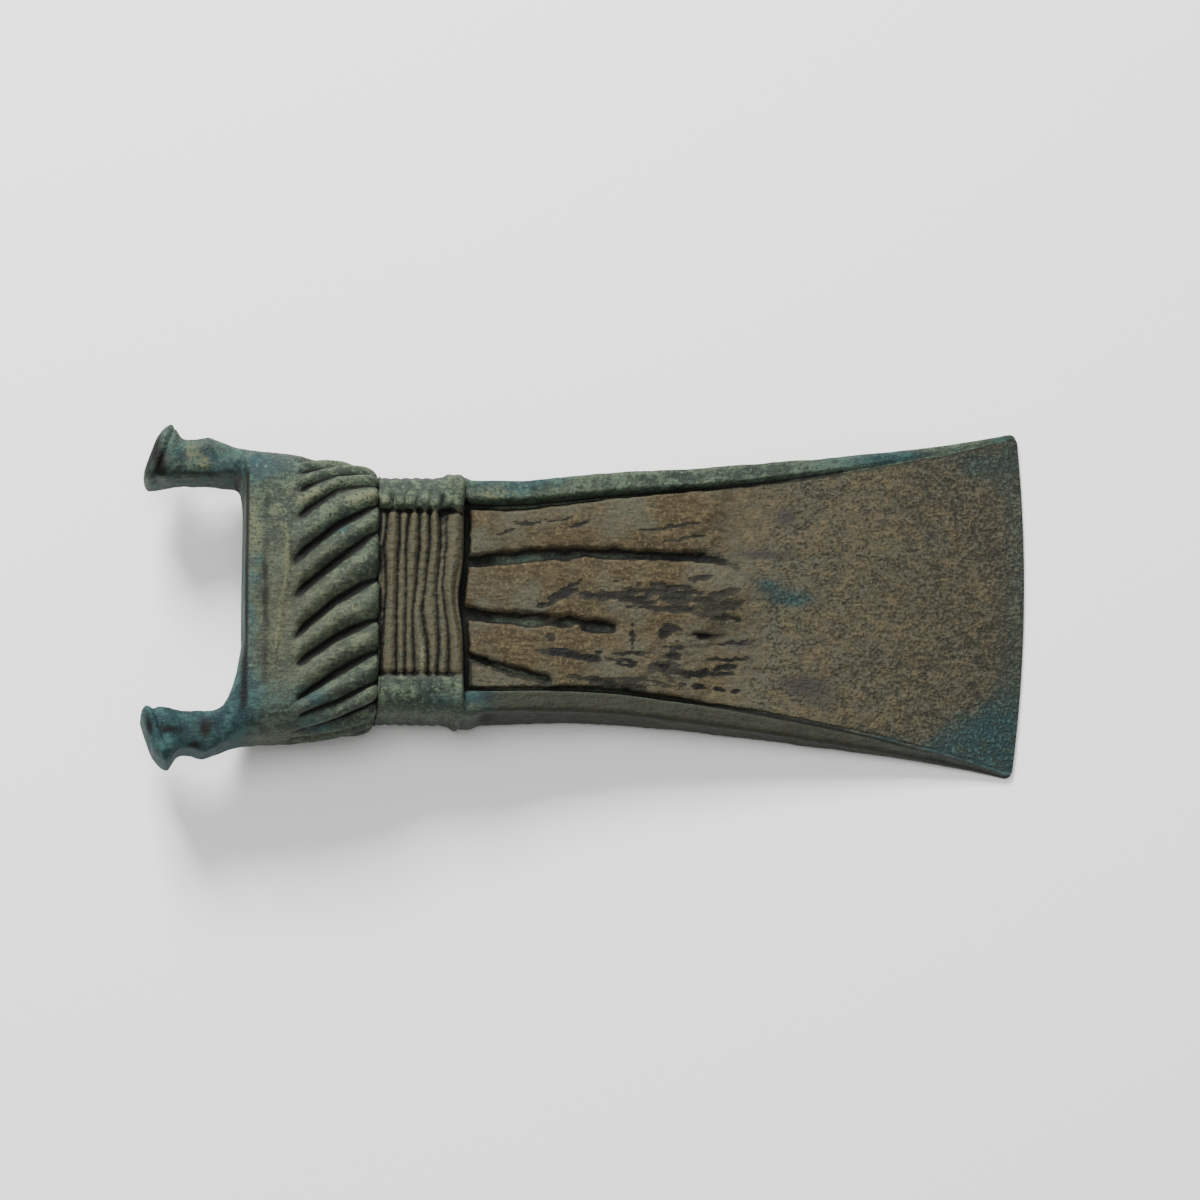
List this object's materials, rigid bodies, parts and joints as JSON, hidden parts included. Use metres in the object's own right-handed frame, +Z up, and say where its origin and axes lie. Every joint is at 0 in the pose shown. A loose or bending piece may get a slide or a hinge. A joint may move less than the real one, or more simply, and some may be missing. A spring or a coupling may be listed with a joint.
{
  "type": "bronze axe head",
  "caption": "Cast bronze axe head lying on its face: flared flanged blade with raised tongues, cord-bound neck, twisted fluted collar and flared lugs beside the haft gap.",
  "frame": {"origin": "Middle of the bounding box, at the height of the surface that the axe head lies on", "axes": "+X from the lugs towards the cutting edge, +Y across the blade, +Z up out of the face that shows"},
  "size_m": [0.1604, 0.0644, 0.0242],
  "materials": {
    "bronze_patina": "Corroded bronze: grey-green and turquoise patina on the flanges, collar and lugs, tan-brown crust on the blade's tongues, near-black brown in the grooves"
  },
  "bodies": {
    "root": {"axe_head": "bronze_patina"}
  },
  "joints": []
}
